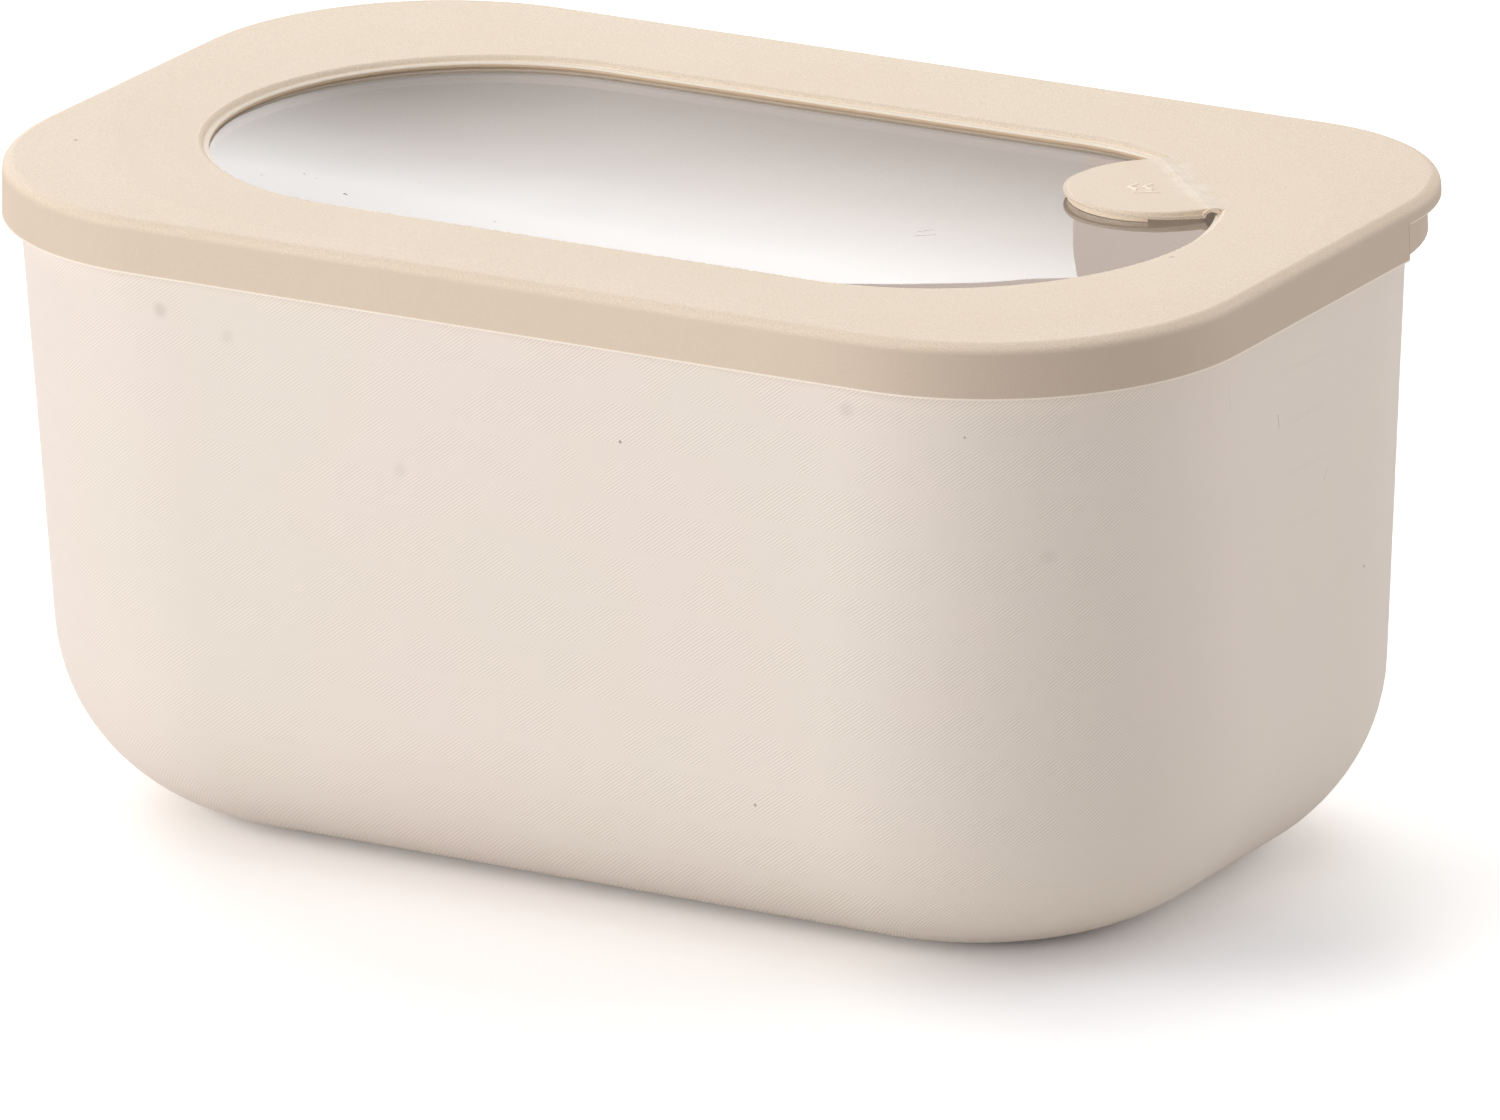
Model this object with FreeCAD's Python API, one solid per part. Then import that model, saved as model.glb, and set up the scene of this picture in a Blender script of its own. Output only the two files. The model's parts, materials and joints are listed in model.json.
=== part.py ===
import FreeCAD, Part
import math
import os

# Food storage container: a deep tub with soft rounded corners, and a press-on lid with a clear
# window and a small vent flap on a living hinge. Millimetres, +Z up, the origin on the floor under
# the centre of the lid, X along the length. The lid's rear right corner (+X, +Y) is its pull lip.

# --- driving dimensions -------------------------------------------------------------------------
LENGTH = 240.0             # overall, at the lower edge of the lid's skirt
WIDTH = 147.6
HEIGHT = 119.0             # floor to the lid's top
DRAFT_TUB = 0.024          # how far each tub wall leans out for each millimetre of height
DRAFT_SKIRT = 0.037        # how far the lid's skirt leans in for each millimetre of height

# tub
WALL = 2.2
FLOOR = 2.4
TUB_INSET = 1.4            # from the skirt's outer face in to the tub's, at the skirt's lower edge
TUB_CORNER_TOP = 49.9      # plan radius of the tub's corners just under the skirt
TUB_CORNER_BOTTOM = 55.2   # the same at the floor, before the bottom edge is rounded
BOTTOM_EDGE = 35.7         # rounding all along the tub's bottom edge
RIM_REBATE = 0.6           # step from the wall in to the thinner rim that the skirt covers
RIM_EDGE = 0.5
FOOT_WIDTH = 5.0           # flat ring that the tub stands on
FOOT_RECESS = 0.8
FOOT_EDGE = 0.6

# lid
LID_PLATE = 2.2
SKIRT = 9.7                # height of the lid's edge
LID_CORNER = 46.6
LID_EDGE = 1.9             # rounding of the lid's top edge
SKIRT_GAP = 0.2            # between the tub's rim and the skirt
SHOULDER_GAP = 0.4         # between the skirt's lower edge and the tub's shoulder
PLUG_WALL = 1.5            # ring under the lid that seals against the inside of the rim
PLUG_DEPTH = 6.3
PLUG_GAP = 0.3
PLUG_LEAD = 0.6

# pull lip
PULL_CORNER = 37.2         # sharper plan radius, so that the corner stands out
PULL_THICKNESS = 3.3       # below it the skirt steps back to a softer corner
PULL_SIDE = 39.8           # from the overall corner back to the slits where that step starts
UNDER_CORNER = 43.2        # plan radius of the skirt under the lip
UNDER_STEP = 0.3           # how far that skirt stands back
UNDER_LIFT = 0.8           # how much higher that skirt ends
SLIT_WIDTH = 0.6
SLIT_DEPTH = 1.2

# window
OPENING_STRAIGHT = 95.4    # between the centres of the opening's two round ends
OPENING_RADIUS = 47.4
OPENING_EDGE = 0.85
DISH_DEPTH = 0.6           # how far the lid's top falls towards the opening
DISH_RADIUS = 66.0         # of its round ends, where it starts to fall
LEDGE_DEPTH = 1.55         # narrow ledge round the opening, from the lid's top
LEDGE_WIDTH = 1.0
LEDGE_EDGE = 0.3
PANE_DEPTH = 2.3           # from the lid's top down to the pane
PANE_THICKNESS = 1.8
PANE_HOLD = 3.0            # how far the frame grips the pane's edge
PANE_GAP = 0.2
CURB_WALL = 2.3            # frame's wall outside the pane's edge
CURB_FLOOR = 1.3           # frame's lip under the pane's edge
CURB_REACH = 2.4           # how far that lip reaches in under the pane

# vent flap: a round tongue that points to the window's middle along the diagonal of the end arc
FLAP_DIRECTION = 45.0      # from +X, about the centre of the opening's right end
FLAP_RADIUS = 16.6
FLAP_CENTRE = 38.0         # of the round end, from the centre of the opening's end
FLAP_SHEET = 0.5
FLAP_TOP = 0.45            # from the lid's top down to the raised pad
FLAP_PAD_INSET = 0.6
FLAP_PAD_EDGE = 0.35
FLAP_SLOPE = 2.5           # degrees that the sheet climbs from the hinge to the tip
FLAP_SHEET_DEPTH = 1.4     # from the lid's top to the sheet, at the hinge
RIM_INSET = 0.7            # flap's hanging rim, in from the edge of the sheet
RIM_WALL = 0.5
RIM_SWEEP = 67.0           # degrees that the rim reaches to each side of the tip
RIM_LIFT = 0.1             # between the rim and the pane
VENT_RADIUS = 4.0          # hole in the pane
VENT_CENTRE = 34.5         # from the centre of the opening's end
SEAL_GAP = 0.8             # from that hole out to the flap's sealing ring
SEAL_WALL = 0.7

# living hinge: a small hollow fold between the flap and the frame
FOLD_WIDTH = 3.3
FOLD_HEIGHT = 1.0
FOLD_SHEET = 0.55
FOLD_CREST = 0.3           # crest, from the lid's top

# --- values worked out from them ----------------------------------------------------------------
LID_BOTTOM = HEIGHT - SKIRT
PLATE_BOTTOM = HEIGHT - LID_PLATE
PANE_TOP = HEIGHT - PANE_DEPTH
PANE_BOTTOM = PANE_TOP - PANE_THICKNESS
TUB_HALF = (LENGTH / 2 - TUB_INSET, WIDTH / 2 - TUB_INSET)
RIM_HALF = (TUB_HALF[0] - RIM_REBATE, TUB_HALF[1] - RIM_REBATE)
RIM_CORNER = TUB_CORNER_TOP - RIM_REBATE
LEDGE_RADIUS = OPENING_RADIUS - LEDGE_WIDTH
PANE_RADIUS = LEDGE_RADIUS + PANE_HOLD
CURB_RADIUS = PANE_RADIUS + PANE_GAP + CURB_WALL
END_CENTRE = FreeCAD.Vector(OPENING_STRAIGHT / 2, 0, 0)
HINGE_ROOT = math.sqrt(OPENING_RADIUS ** 2 - FLAP_RADIUS ** 2)
HINGE_LINE = HINGE_ROOT - FOLD_WIDTH
DISH_BOTTOM = HEIGHT - DISH_DEPTH
OVERRUN = 1.0              # how far a cutting solid runs past the face that it cuts
SAME = 1e-4                # places nearer than this count as one


def rounded_outline(half_x, half_y, radii, z):
    """Closed wire of a rectangle with round corners; radii go (+X+Y), (-X+Y), (-X-Y), (+X-Y)."""
    signs = ((1, 1), (-1, 1), (-1, -1), (1, -1))
    arcs = []
    for number, (sign, radius) in enumerate(zip(signs, radii)):
        centre = FreeCAD.Vector(sign[0] * (half_x - radius), sign[1] * (half_y - radius), z)
        turn = [math.radians(90 * number + part) for part in (0, 45, 90)]
        points = [centre + FreeCAD.Vector(math.cos(t), math.sin(t), 0) * radius for t in turn]
        arcs.append(Part.Arc(*points).toShape())
    edges = []
    for arc, following in zip(arcs, arcs[1:] + arcs[:1]):
        edges.append(arc)
        edges.append(Part.makeLine(arc.lastVertex().Point, following.firstVertex().Point))
    return Part.Wire(edges)


def prism(outline, height):
    """Solid that stands on a closed flat wire."""
    return Part.Face(outline).extrude(FreeCAD.Vector(0, 0, height))


def tapered(lower, upper):
    """Solid between two outlines of the same form."""
    return Part.makeLoft([lower, upper], True, True)


def stadium_outline(radius, z):
    """Closed wire with two round ends of this radius about the centres of the opening's ends."""
    ends = []
    for side in (1, -1):
        centre = FreeCAD.Vector(side * OPENING_STRAIGHT / 2, 0, z)
        across = FreeCAD.Vector(0, side * radius, 0)
        outermost = centre + FreeCAD.Vector(side * radius, 0, 0)
        ends.append(Part.Arc(centre - across, outermost, centre + across).toShape())
    right, left = ends
    front = Part.makeLine(left.lastVertex().Point, right.firstVertex().Point)
    rear = Part.makeLine(right.lastVertex().Point, left.firstVertex().Point)
    return Part.Wire([right, rear, left, front])


def stadium(radius, z_low, z_high):
    """Upright solid on a stadium outline."""
    return prism(stadium_outline(radius, z_low), z_high - z_low)


def level_edges(shape, z):
    """Edges that lie whole in the level plane at z."""
    return [e for e in shape.Edges if abs(e.BoundBox.ZMin - z) < SAME and abs(e.BoundBox.ZMax - z) < SAME]


def opening_edges(shape, z, radius):
    """Level edges at z along the stadium of this radius."""
    chosen = []
    for edge in level_edges(shape, z):
        middle = edge.valueAt((edge.FirstParameter + edge.LastParameter) / 2)
        beyond = max(abs(middle.x) - OPENING_STRAIGHT / 2, 0)
        if abs(math.hypot(beyond, middle.y) - radius) < SAME:
            chosen.append(edge)
    return chosen


def tub_outline(inset, z):
    """Plan of the drafted tub at one height, offset in by inset."""
    drop = LID_BOTTOM - z
    half_x = TUB_HALF[0] - DRAFT_TUB * drop - inset
    half_y = TUB_HALF[1] - DRAFT_TUB * drop - inset
    corner = TUB_CORNER_TOP + (TUB_CORNER_BOTTOM - TUB_CORNER_TOP) * drop / LID_BOTTOM - inset
    return rounded_outline(half_x, half_y, [corner] * 4, z)


def tub_body(inset, z_low, z_high):
    """Drafted tub form, offset in by inset, between two heights and with sharp bottom edges."""
    return tapered(tub_outline(inset, z_low), tub_outline(inset, z_high))


def make_tub():
    """Deep tub: even wall, large rounding below, rim stepped in under the skirt, ring foot."""
    outer = tub_body(0, 0, PLATE_BOTTOM)
    outer = outer.makeFillet(BOTTOM_EDGE, level_edges(outer, 0))
    inner = tub_body(WALL, FLOOR, HEIGHT)
    inner = inner.makeFillet(BOTTOM_EDGE - WALL, level_edges(inner, FLOOR))
    tub = outer.cut(inner)

    shoulder = LID_BOTTOM - SHOULDER_GAP
    around = Part.makeBox(LENGTH, WIDTH, SKIRT, FreeCAD.Vector(-LENGTH / 2, -WIDTH / 2, shoulder))
    rim = prism(rounded_outline(*RIM_HALF, [RIM_CORNER] * 4, shoulder), SKIRT)
    tub = tub.cut(around.cut(rim))
    tub = tub.makeFillet(RIM_EDGE, level_edges(tub, PLATE_BOTTOM))

    foot_x = TUB_HALF[0] - DRAFT_TUB * LID_BOTTOM - BOTTOM_EDGE - FOOT_WIDTH
    foot_y = TUB_HALF[1] - DRAFT_TUB * LID_BOTTOM - BOTTOM_EDGE - FOOT_WIDTH
    foot_corner = TUB_CORNER_BOTTOM - BOTTOM_EDGE - FOOT_WIDTH
    recess = prism(rounded_outline(foot_x, foot_y, [foot_corner] * 4, -OVERRUN), FOOT_RECESS + OVERRUN)
    recess = recess.makeFillet(FOOT_EDGE, level_edges(recess, FOOT_RECESS))
    return tub.cut(recess)


def lid_form(corner):
    """Lid as a full block with drafted edge; corner is the plan radius of its pull lip."""
    lean = DRAFT_SKIRT * SKIRT
    radii = [corner, LID_CORNER, LID_CORNER, LID_CORNER]
    lower = rounded_outline(LENGTH / 2, WIDTH / 2, radii, LID_BOTTOM)
    upper = rounded_outline(LENGTH / 2 - lean, WIDTH / 2 - lean, [r - lean for r in radii], HEIGHT)
    return tapered(lower, upper)


def place_at_hinge(shape):
    """Turn a shape drawn along +X from the opening's end centre onto the flap's diagonal."""
    shape = shape.copy()
    shape.rotate(FreeCAD.Vector(0, 0, 0), FreeCAD.Vector(0, 0, 1), FLAP_DIRECTION)
    shape.translate(END_CENTRE)
    return shape


def upright(points, y_from, y_to):
    """Solid with a closed XZ profile of points, between two places along Y."""
    wire = Part.makePolygon([FreeCAD.Vector(x, y_from, z) for x, z in points + points[:1]])
    return Part.Face(wire).extrude(FreeCAD.Vector(0, y_to - y_from, 0))


def half_ellipse(width, height, base_z, y_from, y_to):
    """Solid under an arch of the given width and height over the fold's middle."""
    middle = FreeCAD.Vector(HINGE_LINE + FOLD_WIDTH / 2, y_from, base_z)
    arch = []
    for degrees in (180, 135, 90, 45, 0):
        turn = math.radians(degrees)
        arch.append(middle + FreeCAD.Vector(math.cos(turn) * width / 2, 0, math.sin(turn) * height))
    curve = Part.BSplineCurve()
    upwards = FreeCAD.Vector(0, 0, 1)
    curve.interpolate(arch, InitialTangent=upwards, FinalTangent=-upwards)
    wire = Part.Wire([curve.toShape(), Part.makeLine(arch[-1], arch[0])])
    return Part.Face(wire).extrude(FreeCAD.Vector(0, y_to - y_from, 0))


def make_fold():
    """Hollow fold of the living hinge, joined to the frame, with the lid's top carried over it."""
    base = HEIGHT - FLAP_SHEET_DEPTH - FLAP_SHEET
    outer = half_ellipse(FOLD_WIDTH, FOLD_HEIGHT + FOLD_SHEET, base, -FLAP_RADIUS, FLAP_RADIUS)
    inner = half_ellipse(FOLD_WIDTH - 2 * FOLD_SHEET, FOLD_HEIGHT, base, -FLAP_RADIUS, FLAP_RADIUS)
    crest = HINGE_LINE + FOLD_WIDTH / 2
    reach = FLAP_RADIUS - FLAP_PAD_INSET
    saddle = upright([(HINGE_LINE, HEIGHT - FLAP_SHEET_DEPTH),
                      (HINGE_LINE, HEIGHT - FLAP_TOP),
                      (crest, HEIGHT - FOLD_CREST),
                      (HINGE_ROOT, DISH_BOTTOM),
                      (HINGE_ROOT, HEIGHT - FLAP_SHEET_DEPTH)], -reach, reach)
    foot = HINGE_ROOT - FOLD_SHEET / 2
    heel = upright([(foot, base),
                    (foot, base + FOLD_SHEET),
                    (HINGE_ROOT, base + FOLD_SHEET),
                    (HINGE_ROOT, base)], -FLAP_RADIUS, FLAP_RADIUS)
    return outer.fuse([saddle, heel]).cut(inner)


def make_pull_notch():
    """What is cut away under the pull lip: the step back to the softer corner, and its two slits."""
    notch_x = LENGTH / 2 - PULL_SIDE
    notch_y = WIDTH / 2 - PULL_SIDE
    low = LID_BOTTOM - OVERRUN
    tall = HEIGHT - PULL_THICKNESS - low
    size = PULL_SIDE + OVERRUN
    under = lid_form(UNDER_CORNER)
    under.translate(FreeCAD.Vector(-UNDER_STEP, -UNDER_STEP, 0))
    notch = Part.makeBox(size, size, tall, FreeCAD.Vector(notch_x, notch_y, low)).cut(under)
    foot = Part.makeBox(size, size, OVERRUN + UNDER_LIFT, FreeCAD.Vector(notch_x, notch_y, low))
    deep = SLIT_DEPTH + OVERRUN
    side = Part.makeBox(deep, SLIT_WIDTH, tall, FreeCAD.Vector(LENGTH / 2 - SLIT_DEPTH, notch_y, low))
    rear = Part.makeBox(SLIT_WIDTH, deep, tall, FreeCAD.Vector(notch_x, WIDTH / 2 - SLIT_DEPTH, low))
    return notch.fuse([foot, side, rear])


def make_dish():
    """What is cut away above the shallow fall of the lid's top towards the opening."""
    return tapered(stadium_outline(OPENING_RADIUS, DISH_BOTTOM), stadium_outline(DISH_RADIUS, HEIGHT))


def make_lid_frame():
    """Lid in one moulding: plate, skirt, pull lip, sealing ring, window frame and hinge."""
    block = lid_form(PULL_CORNER)
    block = block.makeFillet(LID_EDGE, level_edges(block, HEIGHT))
    block = block.cut(make_pull_notch()).cut(make_dish())

    inside_half = (RIM_HALF[0] + SKIRT_GAP, RIM_HALF[1] + SKIRT_GAP)
    inside = rounded_outline(*inside_half, [RIM_CORNER + SKIRT_GAP] * 4, LID_BOTTOM - OVERRUN)
    frame = block.cut(prism(inside, SKIRT + OVERRUN - LID_PLATE))
    frame = frame.fuse(make_plug_ring())
    frame = frame.fuse(stadium(CURB_RADIUS, PANE_BOTTOM - CURB_FLOOR, PLATE_BOTTOM))

    ledge = HEIGHT - LEDGE_DEPTH
    frame = frame.cut(stadium(OPENING_RADIUS, ledge, HEIGHT))
    frame = frame.makeFillet(OPENING_EDGE, opening_edges(frame, DISH_BOTTOM, OPENING_RADIUS))
    frame = frame.cut(stadium(LEDGE_RADIUS, PANE_TOP, ledge))
    frame = frame.makeFillet(LEDGE_EDGE, opening_edges(frame, ledge, LEDGE_RADIUS))
    frame = frame.cut(stadium(PANE_RADIUS + PANE_GAP, PANE_BOTTOM, PANE_TOP))
    frame = frame.cut(stadium(PANE_RADIUS - CURB_REACH, PANE_BOTTOM - CURB_FLOOR, PANE_BOTTOM))
    frame = frame.fuse(place_at_hinge(make_hinge_root()).cut(make_dish()))
    return frame.fuse(place_at_hinge(make_fold())).removeSplitter()


def make_plug_ring():
    """Sealing ring that hangs from the plate just inside the tub's rim."""
    z_low = PLATE_BOTTOM - PLUG_DEPTH
    inset = WALL + PLUG_GAP
    straight = tub_body(inset, z_low + PLUG_LEAD, PLATE_BOTTOM)
    lead = tapered(tub_outline(inset + PLUG_LEAD, z_low), tub_outline(inset, z_low + PLUG_LEAD))
    return straight.fuse(lead).cut(tub_body(inset + PLUG_WALL, z_low - OVERRUN, HEIGHT))


def make_hinge_root():
    """Flat land where the frame reaches in to a straight edge for the hinge, above the pane."""
    land = Part.makeBox(OPENING_RADIUS + OPENING_EDGE - HINGE_ROOT, 2 * FLAP_RADIUS, PANE_DEPTH,
                        FreeCAD.Vector(HINGE_ROOT, -FLAP_RADIUS, PANE_TOP))
    round_end = Part.makeCylinder(OPENING_RADIUS + OPENING_EDGE, PANE_DEPTH, FreeCAD.Vector(0, 0, PANE_TOP))
    return land.common(round_end)


def make_window_pane():
    """Clear pane that the frame grips all round, with the vent hole under the flap."""
    pane = stadium(PANE_RADIUS, PANE_BOTTOM, PANE_TOP)
    hole = Part.makeCylinder(VENT_RADIUS, PANE_THICKNESS, FreeCAD.Vector(VENT_CENTRE, 0, PANE_BOTTOM))
    return pane.cut(place_at_hinge(hole))


def tongue(inset, x_end, z_low, z_high):
    """Upright solid of the flap's plan: straight sides from x_end to a round end."""
    radius = FLAP_RADIUS - inset
    centre = FreeCAD.Vector(FLAP_CENTRE, 0, z_low)
    round_end = Part.makeCylinder(radius, z_high - z_low, centre)
    corner = centre - FreeCAD.Vector(0, radius, 0)
    sides = Part.makeBox(x_end - FLAP_CENTRE, 2 * radius, z_high - z_low, corner)
    return round_end.fuse(sides).removeSplitter()


def make_vent_flap():
    """Flap: thin sloping sheet with a raised pad on it, a hanging rim and a sealing ring below."""
    climb = math.tan(math.radians(FLAP_SLOPE))
    tip = FLAP_CENTRE - FLAP_RADIUS
    near = HEIGHT - FLAP_SHEET_DEPTH
    far = near + climb * (HINGE_LINE - tip)
    band = [(HINGE_LINE, near), (tip, far), (tip, far - FLAP_SHEET), (HINGE_LINE, near - FLAP_SHEET)]
    sheet = upright(band, -FLAP_RADIUS, FLAP_RADIUS).common(tongue(0, HINGE_LINE, PANE_TOP, HEIGHT))
    pad_top = HEIGHT - FLAP_TOP
    pad = tongue(FLAP_PAD_INSET, HINGE_LINE + OVERRUN, PANE_TOP, pad_top)
    pad = pad.makeFillet(FLAP_PAD_EDGE, level_edges(pad, pad_top))
    under = [(HINGE_LINE, near - FLAP_SHEET), (tip, far - FLAP_SHEET), (tip, HEIGHT), (HINGE_LINE, HEIGHT)]
    above_sheet = upright(under, -FLAP_RADIUS, FLAP_RADIUS)
    flap = sheet.fuse(pad.common(above_sheet))
    flap = flap.fuse(make_flap_rim(climb, near)).fuse(make_seal())
    return place_at_hinge(flap.removeSplitter())


def make_flap_rim(climb, near):
    """Curved rim that hangs from the sheet round the tip and stands on the pane."""
    radius = FLAP_RADIUS - RIM_INSET
    foot = PANE_TOP + RIM_LIFT
    at_tip = near + climb * (HINGE_LINE - FLAP_CENTRE + radius) - FLAP_SHEET / 2
    section = [(-radius, foot), (-radius, at_tip), (-radius + RIM_WALL, at_tip), (-radius + RIM_WALL, foot)]
    wire = Part.makePolygon([FreeCAD.Vector(x, 0, z) for x, z in section + section[:1]])
    wire.rotate(FreeCAD.Vector(0, 0, 0), FreeCAD.Vector(0, 0, 1), -RIM_SWEEP)
    rim = Part.Face(wire).revolve(FreeCAD.Vector(0, 0, 0), FreeCAD.Vector(0, 0, 1), 2 * RIM_SWEEP)
    rim.translate(FreeCAD.Vector(FLAP_CENTRE, 0, 0))
    tip = FLAP_CENTRE - FLAP_RADIUS
    mid = near - FLAP_SHEET / 2
    below = [(HINGE_LINE, mid), (tip, mid + climb * (HINGE_LINE - tip)), (tip, foot), (HINGE_LINE, foot)]
    return rim.common(upright(below, -FLAP_RADIUS, FLAP_RADIUS))


def make_seal():
    """Ring under the flap that closes on the pane round the vent hole."""
    inner = VENT_RADIUS + SEAL_GAP
    foot = FreeCAD.Vector(VENT_CENTRE, 0, PANE_TOP + RIM_LIFT)
    tall = HEIGHT - FLAP_SHEET_DEPTH - foot.z
    return Part.makeCylinder(inner + SEAL_WALL, tall, foot).cut(Part.makeCylinder(inner, tall, foot))


parts = {
    "tub": make_tub,
    "lid_frame": make_lid_frame,
    "window_pane": make_window_pane,
    "vent_flap": make_vent_flap,
}

os.makedirs("parts", exist_ok=True)
for name, make in parts.items():
    solid = make()
    solid.exportStep("parts/" + name + ".step")
    print(name, solid.isValid(), len(solid.Solids), round(solid.Volume / 1000, 1), "cm3")
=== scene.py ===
import json
import math

import bpy
import numpy as np
from mathutils import Matrix, Vector


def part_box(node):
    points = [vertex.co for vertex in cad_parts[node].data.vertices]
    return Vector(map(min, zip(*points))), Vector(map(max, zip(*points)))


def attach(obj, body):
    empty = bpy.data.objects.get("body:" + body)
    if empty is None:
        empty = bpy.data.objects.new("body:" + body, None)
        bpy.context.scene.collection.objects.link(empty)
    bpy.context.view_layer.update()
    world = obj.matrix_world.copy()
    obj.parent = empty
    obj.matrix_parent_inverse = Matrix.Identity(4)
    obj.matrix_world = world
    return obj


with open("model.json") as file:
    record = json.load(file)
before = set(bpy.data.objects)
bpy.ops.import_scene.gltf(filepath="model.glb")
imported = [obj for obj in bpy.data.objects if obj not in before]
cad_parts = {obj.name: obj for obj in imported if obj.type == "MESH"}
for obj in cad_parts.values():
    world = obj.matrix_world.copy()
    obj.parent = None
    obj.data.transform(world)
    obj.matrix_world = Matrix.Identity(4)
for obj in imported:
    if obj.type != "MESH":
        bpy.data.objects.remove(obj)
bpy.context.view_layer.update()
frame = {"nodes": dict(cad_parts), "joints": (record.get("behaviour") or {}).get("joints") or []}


# ---------------------------------------------------------------- the tub
# The deep oblong tub is one injection-moulded polypropylene shell, cream and satin.
# Its mould was cut in level bands of fine slanting passes, which still show in the walls and corners.


class Finish:
    """A moulded plastic: one shader, with the nodes that tint it and roughen its skin."""

    def __init__(self, name, roughness=0.5, specular=0.5):
        self.material = bpy.data.materials.new(name)
        self.material.use_nodes = True
        self.nodes = self.material.node_tree.nodes
        self.wires = self.material.node_tree.links
        self.shader = self.nodes["Principled BSDF"]
        self.shader.inputs["Roughness"].default_value = roughness
        self.shader.inputs["Specular IOR Level"].default_value = specular
        self.place = self.nodes.new("ShaderNodeTexCoord").outputs["Object"]
        parts = self.nodes.new("ShaderNodeSeparateXYZ")
        self.wires.new(self.place, parts.inputs[0])
        self.x, self.y, self.z = parts.outputs

    def node(self, kind, settings, *inputs, **named):
        """Add a node, set its settings, then fill its inputs in order and by name with numbers or wires."""
        made = self.nodes.new(kind)
        for key, value in settings.items():
            setattr(made, key, value)
        sockets = list(zip(made.inputs, inputs)) + [(made.inputs[key], value) for key, value in named.items()]
        for socket, value in sockets:
            if isinstance(value, bpy.types.NodeSocket):
                self.wires.new(value, socket)
            else:
                socket.default_value = value
        return made

    def math(self, operation, *values):
        """One sum on numbers or wires."""
        return self.node("ShaderNodeMath", {"operation": operation}, *values).outputs[0]

    def vector(self, operation, *values, out="Vector"):
        """One sum on vectors."""
        return self.node("ShaderNodeVectorMath", {"operation": operation}, *values).outputs[out]

    def noise(self, scale, detail=2.0, place=None):
        """Smooth noise from 0 to 1, with this many features a metre."""
        made = self.node("ShaderNodeTexNoise", {}, Scale=scale, Detail=detail, Vector=place or self.place)
        return made.outputs["Fac"]

    def span(self, value, low, high, start=0.0, end=1.0):
        """Carry a value from low..high to start..end with soft ends, and hold it there."""
        smooth = {"interpolation_type": "SMOOTHSTEP"}
        return self.node("ShaderNodeMapRange", smooth, value, low, high, start, end).outputs["Result"]

    def product(self, first, *others):
        """All the values multiplied together, so that masks join into the place where all of them hold."""
        for other in others:
            first = self.math("MULTIPLY", first, other)
        return first

    def between(self, value, low, high):
        """1 where the value lies from low to high, else 0, with hard ends."""
        return self.product(self.math("GREATER_THAN", value, low), self.math("LESS_THAN", value, high))

    def apart(self, value, middle):
        """How far a value is from a middle value, without its sign."""
        return self.math("ABSOLUTE", self.math("SUBTRACT", value, middle))

    def tint(self, amount, colour, other):
        """Mix two colours by an amount from 0 to 1."""
        made = self.node("ShaderNodeMix", {"data_type": "RGBA"}, amount)
        for socket, value in zip(made.inputs[6:8], (colour, other)):
            if isinstance(value, bpy.types.NodeSocket):
                self.wires.new(value, socket)
            else:
                socket.default_value = (*value, 1.0)
        return made.outputs[2]

    def near(self, start, end, inner, outer):
        """1 within inner of the line from start to end, 0 beyond outer. A spot has one place as both."""
        start, along = Vector(start), Vector(end) - Vector(start)
        offset = self.vector("SUBTRACT", self.place, start)
        if along.length > 0:
            share = self.vector("DOT_PRODUCT", offset, along / along.length_squared, out="Value")
            share = self.node("ShaderNodeClamp", {}, share).outputs[0]
            offset = self.vector("SUBTRACT", offset, self.node("ShaderNodeVectorMath", {"operation": "SCALE"},
                                                               along, Scale=share).outputs[0])
        return self.span(self.vector("LENGTH", offset, out="Value"), inner, outer, 1.0, 0.0)

    def mark(self, start, end, width):
        """A speck or a scratch about this wide, with a soft edge."""
        return self.near(start, end, 0.35 * width, 1.3 * width)

    def relief(self, height, depth, under=None):
        """Raise the skin by height (0 to 1) times depth in metres, on top of another relief."""
        made = self.node("ShaderNodeBump", {}, Height=height, Distance=depth, Strength=1.0)
        if under is not None:
            self.wires.new(under, made.inputs["Normal"])
        return made.outputs["Normal"]

    def finish(self, colour, skin):
        """Give the shader its colour and its skin."""
        self.wires.new(colour, self.shader.inputs["Base Color"])
        self.wires.new(skin, self.shader.inputs["Normal"])

    def surface(self, shader_node):
        """Use another shader in place of the usual one."""
        self.nodes.remove(self.shader)
        self.wires.new(shader_node.outputs[0], self.nodes["Material Output"].inputs["Surface"])

    def put_on(self, piece):
        """Make this the piece's only material."""
        piece.data.materials.clear()
        piece.data.materials.append(self.material)


cream = Finish("tub_satin", roughness=0.5, specular=0.18)

# Way round the wall from the middle of the front: along the face, then round the corner's arc, then
# along the end. It runs the same way round at the back, so that the passes slant alike all round.
corner_x, corner_y, corner_radius = 0.0650, 0.0188, 0.0522
across, deep = cream.math("ABSOLUTE", cream.x), cream.math("ABSOLUTE", cream.y)
past_x = cream.math("MAXIMUM", cream.math("SUBTRACT", across, corner_x), 0.0)
past_y = cream.math("MAXIMUM", cream.math("SUBTRACT", deep, corner_y), 0.0)
arc = cream.product(cream.math("ARCTAN2", past_x, past_y), corner_radius)
straight = cream.math("SUBTRACT", cream.math("ADD", cream.math("MINIMUM", across, corner_x), corner_y),
                      cream.math("MINIMUM", deep, corner_y))
way_round = cream.math("ADD", straight, arc)
signed_way = cream.product(way_round, cream.math("SIGN", cream.x), cream.math("SIGN", cream.y), -1.0)

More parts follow.
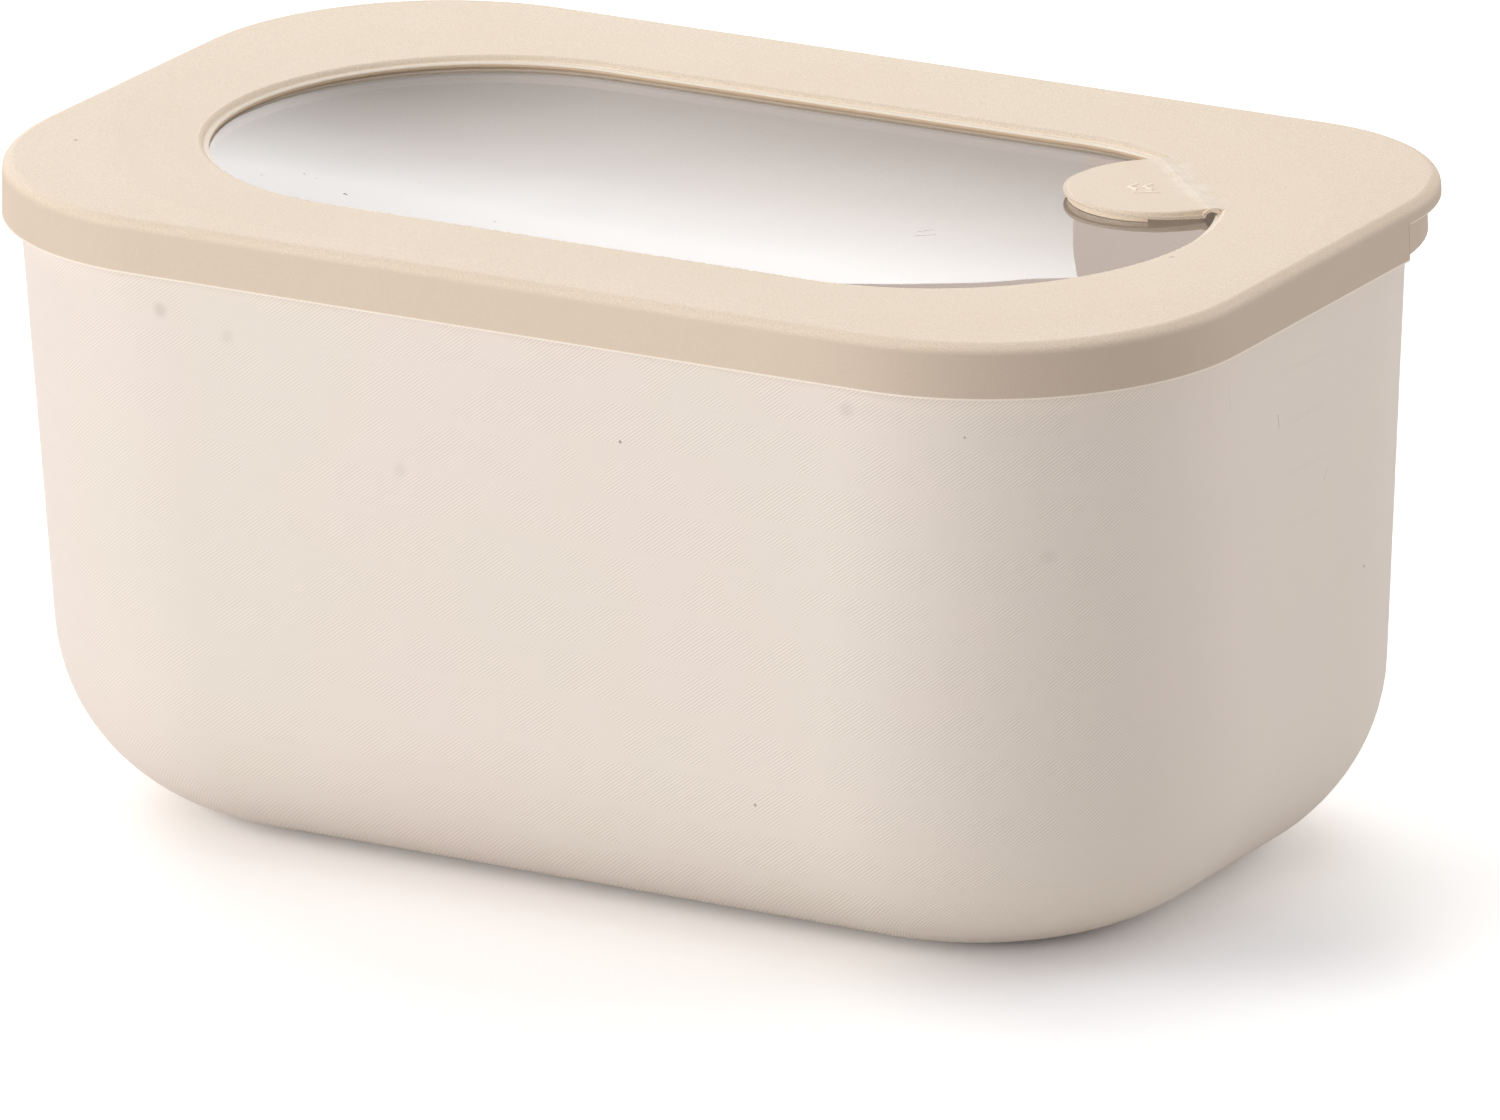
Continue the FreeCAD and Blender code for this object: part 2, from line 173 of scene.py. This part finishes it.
# The passes: waves 0.53 mm apart that rise at 37 degrees, in level bands 9.35 mm high with plain
# strips between them. They die away past the corner, where the end wall is polished.
pass_pitch, pass_rise, band_height, band_start = 0.00053, math.radians(37.0), 0.00935, 0.0071
slant = cream.math("SUBTRACT", cream.product(cream.z, math.cos(pass_rise)),
                   cream.product(signed_way, math.sin(pass_rise)))
passes = cream.math("SINE", cream.product(slant, 2.0 * math.pi / pass_pitch))
level = cream.math("DIVIDE", cream.math("SUBTRACT", cream.z, band_start), band_height)
from_strip = cream.math("PINGPONG", level, 0.5)
in_band = cream.span(from_strip, 0.08, 0.15)
to_polish = cream.span(way_round, 0.116, 0.130, 1.0, 0.0)
patchy = cream.span(cream.noise(160.0, 1.0), 0.30, 0.55)
stronger_right = cream.span(cream.x, -0.08, 0.09, 0.5, 1.0)
hatch = cream.product(passes, patchy, stronger_right, in_band, to_polish)

# Fine skin, then the passes, then the shallow level groove that each strip leaves.
skin_depth, pass_depth, strip_depth = 0.000012, 0.000012, 0.000010
skin = cream.relief(cream.noise(1400.0, 2.0), skin_depth)
skin = cream.relief(hatch, pass_depth, skin)
skin = cream.relief(cream.span(from_strip, 0.0, 0.07), strip_depth, skin)

# The plastic clouds a little between pinkish and greenish cream, and a painted shade along the passes stands
# in for the light they catch.
cloud = cream.span(cream.noise(26.0, 2.0), 0.35, 0.65)
colour = cream.tint(cloud, (0.846, 0.752, 0.692), (0.826, 0.762, 0.682))
colour = cream.tint(cream.span(hatch, -1.0, 1.0), colour, (0.69, 0.614, 0.552))

# Faint level lines show near the lid on the end wall, then come soft round blushes and specks.
near_lid, on_end = cream.span(cream.z, 0.058, 0.085), cream.span(way_round, 0.150, 0.172)
line = cream.product(cream.span(from_strip, 0.02, 0.10, 1.0, 0.0), near_lid, on_end, 0.22)
colour = cream.tint(line, colour, (0.66, 0.57, 0.50))
for spot, strength in (((-0.0676, -0.0723, 0.1031), 0.42), ((-0.0541, -0.0722, 0.1002), 0.20),
                       ((-0.0199, -0.0717, 0.0810), 0.24), ((0.0695, -0.0723, 0.1049), 0.28),
                       ((0.1007, -0.0587, 0.0797), 0.22)):
    blush = cream.product(cream.near(spot, spot, 0.0002, 0.0021), strength)
    colour = cream.tint(blush, colour, (0.52, 0.44, 0.39))
for start, end, width, strength in (
        ((0.0245, -0.0720, 0.0927), (0.0245, -0.0720, 0.0927), 0.00032, 0.75),
        ((0.0489, -0.0703, 0.0307), (0.0489, -0.0703, 0.0307), 0.00034, 0.60),
        ((0.1173, 0.0217, 0.0572), (0.1173, 0.0217, 0.0572), 0.00032, 0.60),
        ((0.0896, -0.0674, 0.1017), (0.0896, -0.0674, 0.1017), 0.00024, 0.60),
        ((0.1182, -0.0272, 0.1035), (0.1181, -0.0264, 0.0990), 0.00012, 0.12),
        ((0.1182, -0.0102, 0.0937), (0.1182, -0.0097, 0.0913), 0.00014, 0.40),
        ((0.1179, 0.0076, 0.0791), (0.1178, 0.0066, 0.0772), 0.00012, 0.22)):
    speck = cream.product(cream.mark(start, end, width), strength)
    colour = cream.tint(speck, colour, (0.16, 0.11, 0.08))
cream.finish(colour, skin)
cream.put_on(frame["nodes"]["tub"])


# ---------------------------------------------------------------- the lid's frame
# The lid's frame is warm beige plastic with a fine sandy grain, pressed down over the tub's rim.
# It rings the window, and its corner stands out over a slit skirt as a pull lip.

beige = Finish("lid_grained", roughness=0.55, specular=0.35)
grain = beige.noise(3400.0, 2.0)
cloud = beige.span(beige.noise(28.0, 3.0), 0.3, 0.7)
colour = beige.tint(cloud, (0.865, 0.730, 0.585), (0.848, 0.708, 0.560))
colour = beige.tint(beige.span(grain, 0.38, 0.62, 0.0, 0.60), colour, (0.73, 0.595, 0.455))

# The skirt lies outside a ring round the opening and below the rounded top edge. It is painted a shade deeper
# than the top, as painted shade for a side that takes less light, and more so towards the right end.
ring_half_x, ring_half_y = 0.100, 0.053
outside = beige.math("MAXIMUM", beige.math("DIVIDE", beige.math("ABSOLUTE", beige.x), ring_half_x),
                     beige.math("DIVIDE", beige.math("ABSOLUTE", beige.y), ring_half_y))
on_skirt = beige.product(beige.span(beige.z, 0.1168, 0.1186, 1.0, 0.0),
                         beige.math("GREATER_THAN", outside, 1.0))
colour = beige.tint(beige.product(on_skirt, 0.75), colour, (0.60, 0.485, 0.385))
colour = beige.tint(beige.product(on_skirt, beige.span(beige.x, 0.050, 0.095, 0.0, 0.5)),
                    colour, (0.46, 0.370, 0.300))

# Places on the flap are measured from its hinge, towards the tip and sideways along the hinge.
# The lid has the same surface, so tones that belong to the lid alone leave the flap out.
hinge = Vector(frame["joints"][0]["pos_m"])
towards_tip = Vector((-math.sqrt(0.5), -math.sqrt(0.5), 0.0))
along_hinge = Vector((-math.sqrt(0.5), math.sqrt(0.5), 0.0))
from_hinge = beige.vector("SUBTRACT", beige.place, hinge)
toward = beige.vector("DOT_PRODUCT", from_hinge, towards_tip, out="Value")
sideways = beige.math("ABSOLUTE", beige.vector("DOT_PRODUCT", from_hinge, along_hinge, out="Value"))
flap_half, flap_reach = 0.0168, 0.0200
on_flap = beige.product(beige.between(toward, -0.0001, flap_reach),
                        beige.math("LESS_THAN", sideways, flap_half))

# Inside the opening, the wall down to the window is painted a deeper, warmer shade, with a thin painted
# highlight along the edge over it. What lies under the window is painted a deeper shade still.
inward = beige.product(beige.math("LESS_THAN", outside, 1.0), beige.math("SUBTRACT", 1.0, on_flap))
for low, high, amount, shade in ((0.1150, 0.1171, 0.75, (0.70, 0.49, 0.32)),
                                 (0.1171, 0.1176, 0.65, (1.00, 0.91, 0.79)),
                                 (0.1000, 0.1150, 0.80, (0.42, 0.33, 0.28))):
    colour = beige.tint(beige.product(beige.between(beige.z, low, high), inward, amount), colour, shade)

# A dark line of painted shade lies beside the slit under the pull lip, and a painted highlight lies along the
# lip's lower edge.
slit_y, lip_under, skirt_side, lip_start_x = 0.0347, 0.1157, 0.1150, 0.0850
slit_painted_shade = beige.product(beige.span(beige.apart(beige.y, slit_y), 0.00040, 0.00055, 1.0, 0.0),
                        beige.math("GREATER_THAN", beige.x, skirt_side),
                        beige.math("LESS_THAN", beige.z, lip_under))
colour = beige.tint(slit_painted_shade, colour, (0.20, 0.13, 0.07))
lip_edge_highlight = beige.product(beige.span(beige.apart(beige.z, lip_under), 0.00008, 0.00024, 0.6, 0.0),
                         beige.math("GREATER_THAN", beige.y, slit_y),
                         beige.math("GREATER_THAN", beige.x, lip_start_x))
colour = beige.tint(lip_edge_highlight, colour, (1.0, 0.92, 0.80))

# A thin painted highlight runs along the skirt's lower edge.
skirt_foot = 0.1093
foot_highlight = beige.span(beige.apart(beige.z, skirt_foot), 0.00018, 0.00040, 0.8, 0.0)
colour = beige.tint(foot_highlight, colour, (0.93, 0.85, 0.75))

# The living hinge is whitened and rubbed smooth in patches where it bends, and its far slope is painted pale,
# as painted light that evens out the fold's shade.
fold_middle, slope_middle = -0.0022, -0.0025
on_fold = beige.product(beige.span(beige.apart(toward, fold_middle), 0.0004, 0.0048, 1.0, 0.0),
                        beige.span(sideways, 0.0160, 0.0172, 1.0, 0.0))
rubbed = beige.product(on_fold, beige.span(beige.noise(260.0, 3.0), 0.42, 0.60))
colour = beige.tint(beige.product(rubbed, 0.30), colour, (0.97, 0.90, 0.82))
far_slope = beige.math("LESS_THAN", beige.apart(toward, slope_middle), 0.0008)
colour = beige.tint(beige.product(far_slope, on_fold, 0.3), colour, (1.0, 0.92, 0.80))

# Three small dark specks lie on the lid. Its grain, flatter where it is rubbed, lies on a slow sway.
for start, end, width in (((-0.1065, -0.0373, 0.1190), (-0.1065, -0.0373, 0.1190), 0.00036),
                          ((0.0967, -0.0089, 0.1185), (0.0971, -0.0084, 0.1185), 0.00020),
                          ((0.0949, 0.0353, 0.1188), (0.0949, 0.0353, 0.1188), 0.00018)):
    speck = beige.product(beige.mark(start, end, width), 0.75)
    colour = beige.tint(speck, colour, (0.13, 0.08, 0.05))
grain_depth, sway_depth = 0.00006, 0.00008
rough_grain = beige.product(grain, beige.math("SUBTRACT", 1.0, beige.product(rubbed, 0.6)))
skin = beige.relief(rough_grain, grain_depth)
beige.finish(colour, beige.relief(beige.noise(60.0, 2.0), sway_depth, skin))

# The thin flap lets light through, and its underside and its hanging rim are given a faint painted glow to
# stand for it.
foot_at_hinge, sheet_climb, round_end_centre = 0.11715, math.tan(math.radians(2.5)), 0.0031
sheet_foot = beige.math("ADD", foot_at_hinge, beige.product(toward, sheet_climb))
from_centre = beige.vector("SUBTRACT", beige.place, hinge + towards_tip * round_end_centre)
from_centre = beige.vector("LENGTH", beige.vector("MULTIPLY", from_centre, (1.0, 1.0, 0.0)), out="Value")
sheet_glow = beige.product(beige.math("LESS_THAN", beige.z, sheet_foot), on_flap,
                           beige.math("LESS_THAN", from_centre, flap_half),
                           beige.span(from_centre, 0.0148, 0.0155, 0.16, 0.14))
beige.shader.inputs["Emission Color"].default_value = (0.86, 0.66, 0.47, 1.0)
beige.wires.new(sheet_glow, beige.shader.inputs["Emission Strength"])
beige.put_on(frame["nodes"]["lid_frame"])


# ---------------------------------------------------------------- the window
# The window is a clear polished sheet held in a groove round the opening.
# Light passes through it, and its faces mirror a part of the room, most at a low angle.

clear = Finish("window_polished")
fresnel = clear.node("ShaderNodeFresnel", {}, IOR=1.49).outputs["Fac"]
both_faces = clear.math("DIVIDE", clear.product(fresnel, 2.0), clear.math("ADD", fresnel, 1.0))
from_outside = clear.math("SUBTRACT", 1.0, clear.node("ShaderNodeNewGeometry", {}).outputs["Backfacing"])
wave = clear.relief(clear.noise(26.0, 1.0), 0.00003)
mirror = clear.node("ShaderNodeBsdfAnisotropic", {}, Color=(1.0, 1.0, 1.0, 1.0), Roughness=0.006,
                    Normal=wave)
through = clear.node("ShaderNodeBsdfTransparent", {}, Color=(0.97, 0.97, 0.965, 1.0))
glazing = clear.node("ShaderNodeMixShader", {}, clear.product(both_faces, from_outside),
                     through.outputs[0], mirror.outputs[0])

# A few specks of dust and hair scratches lie on it.
dust = clear.node("ShaderNodeBsdfDiffuse", {}, Color=(0.20, 0.17, 0.15, 1.0))
pane_top, marks = 0.1167, 0.0
for start, end, width in (((-0.0517, -0.0368), (-0.0510, -0.0372), 0.00022),
                          ((-0.0642, -0.0298), (-0.0642, -0.0298), 0.00022),
                          ((-0.0607, -0.0314), (-0.0607, -0.0314), 0.00016),
                          ((-0.0705, -0.0338), (-0.0705, -0.0338), 0.00018),
                          ((-0.0435, -0.0252), (-0.0435, -0.0252), 0.00016),
                          ((-0.0199, -0.0389), (-0.0199, -0.0389), 0.00022),
                          ((0.0481, -0.0107), (0.0500, -0.0084), 0.00009),
                          ((0.0487, -0.0131), (0.0517, -0.0108), 0.00009)):
    marks = clear.math("MAXIMUM", marks, clear.mark((*start, pane_top), (*end, pane_top), width))
clear.surface(clear.node("ShaderNodeMixShader", {}, clear.product(marks, 0.85), glazing.outputs[0],
                         dust.outputs[0]))
clear.put_on(frame["nodes"]["window_pane"])


# ---------------------------------------------------------------- the vent flap
# The round flap is moulded with the lid, and tips up on a thin living hinge to let steam out.
# A raised double arrowhead and a bar on it show which way it lifts.

beige.put_on(frame["nodes"]["vent_flap"])
flap_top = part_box("vent_flap")[1][2]


def raised_stroke(path, width, height):
    """Carry a low trapezoid along a path of plane points, with mitred bends.

    Each point moves sideways by half the width along the mean of its two runs' normals, over the
    cosine of half the bend. The foot is the full width and sits 0.05 mm down in the flap's top."""
    path = np.asarray(path, float)
    runs = np.diff(path, axis=0)
    runs /= np.linalg.norm(runs, axis=1)[:, None]
    before, after = np.vstack((runs[:1], runs)), np.vstack((runs, runs[-1:]))
    mean = before + after
    mean /= np.linalg.norm(mean, axis=1)[:, None]
    normal = np.stack((-mean[:, 1], mean[:, 0]), axis=1) / (mean * after).sum(axis=1)[:, None]
    sunk = -0.00005
    sides = np.array([(0.5, sunk), (0.32, height), (-0.32, height), (-0.5, sunk)])
    plan = path[:, None, :] + normal[:, None, :] * sides[None, :, :1] * width
    lift = np.broadcast_to(sides[None, :, 1:], plan.shape[:2] + (1,))
    return np.concatenate((plan, lift), axis=2)


stroke_width, stroke_height = 0.00062, 0.00018
points, faces = [], []
for path in (((0.0065, 0.0019), (0.0084, 0.0006), (0.0075, -0.0015)),
             ((0.0040, 0.0011), (0.0059, -0.0001), (0.0050, -0.0023)),
             ((0.0040, -0.0039), (0.0085, -0.0025))):
    stroke = raised_stroke(path, stroke_width, stroke_height)
    count = len(stroke)
    ring = np.arange(count * 4).reshape(count, 4) + sum(len(part) for part in points)
    turned = np.roll(ring, -1, axis=1)
    faces += np.stack((ring[:-1], turned[:-1], turned[1:], ring[1:]), axis=2).reshape(-1, 4).tolist()
    faces += [ring[0, ::-1].tolist(), ring[-1].tolist()]
    flat = stroke.reshape(-1, 3)
    place = flat[:, :1] * np.array(towards_tip[:2]) + flat[:, 1:2] * np.array(along_hinge[:2])
    points.append(np.column_stack((place + np.array(hinge[:2]), flat[:, 2] + flap_top)))

mark_mesh = bpy.data.meshes.new("lift_mark")
mark_mesh.from_pydata(np.vstack(points).tolist(), [], faces)
lift_mark = bpy.data.objects.new("lift_mark", mark_mesh)
bpy.context.scene.collection.objects.link(lift_mark)
pale = Finish("mark_pale", roughness=0.5, specular=0.35)
pale.finish(pale.tint(pale.noise(900.0), (0.98, 0.87, 0.73), (0.94, 0.83, 0.68)),
            pale.relief(pale.noise(1500.0), 0.00001))
pale.put_on(lift_mark)
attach(lift_mark, "flap")


# ---------------------------------------------------------------- the floor and the mirror card
# The container stands on a plain pale studio floor, which takes its soft shadow.
# A pale card behind it, which only reflections see, is what the window mirrors.


def flat_card(name, centre, right, up):
    """A flat four-sided card round a centre, reaching right and up by the two half vectors."""
    centre, right, up = Vector(centre), Vector(right), Vector(up)
    corners = [centre - right - up, centre + right - up, centre + right + up, centre - right + up]
    card = bpy.data.meshes.new(name)
    card.from_pydata([tuple(corner) for corner in corners], [], [(0, 1, 2, 3)])
    made = bpy.data.objects.new(name, card)
    bpy.context.scene.collection.objects.link(made)
    return made


floor = flat_card("studio_floor", (0.0, 0.0, 0.0), (8.0, 0.0, 0.0), (0.0, 8.0, 0.0))
paper = Finish("floor_paper")
path = paper.node("ShaderNodeLightPath", {}).outputs
seen = paper.math("MAXIMUM", path["Is Camera Ray"], path["Is Transmission Ray"])

# It is brighter to the eye than in what it bounces, with a painted shadow patch deepening it where the shadow
# pools.
painted_shadow_patch = paper.near((0.096, -0.049, 0.0), (0.118, -0.020, 0.0), 0.0, 0.043)
nearby = paper.tint(painted_shadow_patch, (1.36, 1.36, 1.36), (1.07, 1.07, 1.10))
paper.surface(paper.node("ShaderNodeBsdfDiffuse", {}, paper.tint(seen, (0.96, 0.93, 0.91), nearby)))
paper.put_on(floor)

# The view's turn, rise and roll place the card square to it as well as the camera below.
turn, rise, roll = math.radians(30.775839), math.radians(18.088374), math.radians(-1.037163)
level = Vector((math.cos(turn), math.sin(turn), 0.0))
away = Vector((-math.sin(turn), math.cos(turn), 0.0))
card_behind, card_middle_z, card_half_wide, card_half_tall = 0.45, 0.31, 0.42, 0.19
card = flat_card("mirror_card", away * card_behind + Vector((0.0, 0.0, card_middle_z)),
                 level * card_half_wide, (0.0, 0.0, card_half_tall))
card.visible_camera = card.visible_diffuse = card.visible_shadow = card.visible_transmission = False

# The card brightens upwards and leans brighter to the right. Past a bowed right edge, and above
# its top edge, it falls back to a dim warm tone.
glow = Finish("card_glow")
card_slope, low_z, high_z = 0.2, 0.2378, 0.2678
top_z, bow_middle_z, bow, right_edge = 0.2755, 0.2671, 11.0, 0.0716
low_glow, added_glow, glow_curve, dim = 0.8, 1.53, 1.25, 1.15
sideways = glow.vector("DOT_PRODUCT", glow.place, level, out="Value")
upwards = glow.math("SUBTRACT", glow.z, glow.product(sideways, card_slope))
share = glow.node("ShaderNodeMapRange", {}, upwards, low_z, high_z, 0.0, 1.0).outputs["Result"]
far_side = glow.span(sideways, -0.085, -0.015, -0.60, 0.28)
near_side = glow.span(sideways, -0.085, -0.015, -0.20, 0.22)
lean = glow.math("ADD", far_side, glow.product(share, glow.math("SUBTRACT", near_side, far_side)))
rising = glow.product(glow.math("POWER", share, glow_curve), added_glow)
bright = glow.math("ADD", glow.math("ADD", low_glow, rising), lean)
bowed = glow.product(glow.math("POWER", glow.math("SUBTRACT", glow.z, bow_middle_z), 2.0), bow)
edge = glow.math("ADD", right_edge, bowed)
lit = glow.product(glow.math("LESS_THAN", sideways, edge), glow.math("LESS_THAN", glow.z, top_z))
strength = glow.math("ADD", dim, glow.product(lit, glow.math("SUBTRACT", bright, dim)))
white = glow.tint(share, (1.0, 0.92, 0.87), (1.0, 0.99, 0.985))
tone = glow.tint(lit, (1.0, 0.85, 0.78), white)
glow.surface(glow.node("ShaderNodeEmission", {}, tone, strength))
glow.put_on(card)


# ---------------------------------------------------------------- the lamps
# Large soft boxes stand round the table, the strongest at the left, in front and behind.
# A little light from the room fills the shadows.

aim = Vector((0.0, 0.0, 0.08))


def soft_box(name, place, width, height, watts):
    """A rectangular area lamp at a place, turned to face the container."""
    lamp = bpy.data.lights.new(name, "AREA")
    lamp.shape = "RECTANGLE"
    lamp.size = width
    lamp.size_y = height
    lamp.energy = watts
    made = bpy.data.objects.new(name, lamp)
    made.location = place
    made.rotation_euler = (aim - Vector(place)).to_track_quat("-Z", "Y").to_euler()
    bpy.context.scene.collection.objects.link(made)


soft_box("lamp_top", (0.0, 0.1, 1.8), 2.4, 2.4, 16.2)
soft_box("lamp_back_left", (-1.8, 1.6, 1.2), 2.0, 2.0, 34.8)
soft_box("lamp_back_right", (1.8, 1.6, 1.2), 2.0, 2.0, 24.7)
soft_box("lamp_front_left", (-1.9, -1.9, 1.0), 1.6, 1.8, 36.6)
soft_box("lamp_front_low", (-1.1, -2.4, 0.5), 0.8, 0.8, 18.3)
soft_box("lamp_front_right", (2.3, -1.6, 1.0), 1.2, 1.8, 14.6)

room = bpy.data.worlds.new("studio_room")
room.use_nodes = True
room.node_tree.nodes["Background"].inputs["Color"].default_value = (1.0, 1.0, 1.0, 1.0)
room.node_tree.nodes["Background"].inputs["Strength"].default_value = 0.05
bpy.context.scene.world = room


# ---------------------------------------------------------------- the camera
# A long lens looks down on the container from in front of its corner, as across a table.

back = Vector((math.sin(turn) * math.cos(rise), -math.cos(turn) * math.cos(rise), math.sin(rise)))
upward = back.cross(level)
right = level * math.cos(roll) + upward * math.sin(roll)
up = upward * math.cos(roll) - level * math.sin(roll)

lens = bpy.data.cameras.new("camera")
lens.lens = 432.17
lens.sensor_width = 36.0
lens.clip_end = 100.0
camera = bpy.data.objects.new("camera", lens)
camera_place = Vector((1.537167, -2.569488, 1.024814))
camera.matrix_world = Matrix.Translation(camera_place) @ Matrix((right, up, back)).transposed().to_4x4()
bpy.context.scene.collection.objects.link(camera)
bpy.context.scene.camera = camera
bpy.context.scene.view_settings.view_transform = "Standard"
